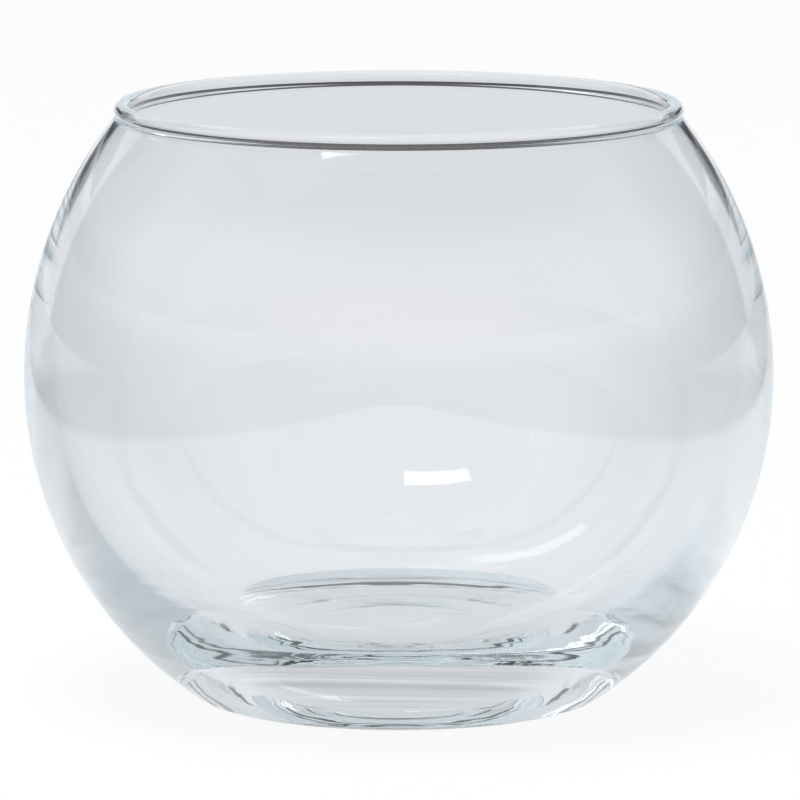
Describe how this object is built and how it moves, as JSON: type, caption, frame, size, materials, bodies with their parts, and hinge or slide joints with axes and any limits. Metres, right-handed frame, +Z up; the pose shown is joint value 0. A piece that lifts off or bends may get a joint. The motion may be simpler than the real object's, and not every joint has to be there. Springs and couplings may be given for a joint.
{
  "type": "rose bowl vase",
  "caption": "Clear glass rose bowl: a round-bellied open vase with a thick flat base and a fire-polished rim, for floating blooms or a short bunch of flowers.",
  "frame": {"origin": "centre of the flat ring that the bowl stands on", "axes": "+Z up along the bowl's axis of revolution, X and Y in the resting plane"},
  "size_m": [0.152, 0.152, 0.1216],
  "materials": {
    "clear_glass": "clear, fire-polished soda-lime glass with a faint blue-grey cast"
  },
  "bodies": {
    "root": {"base": "clear_glass", "bowl_wall": "clear_glass", "rim": "clear_glass"}
  },
  "joints": []
}
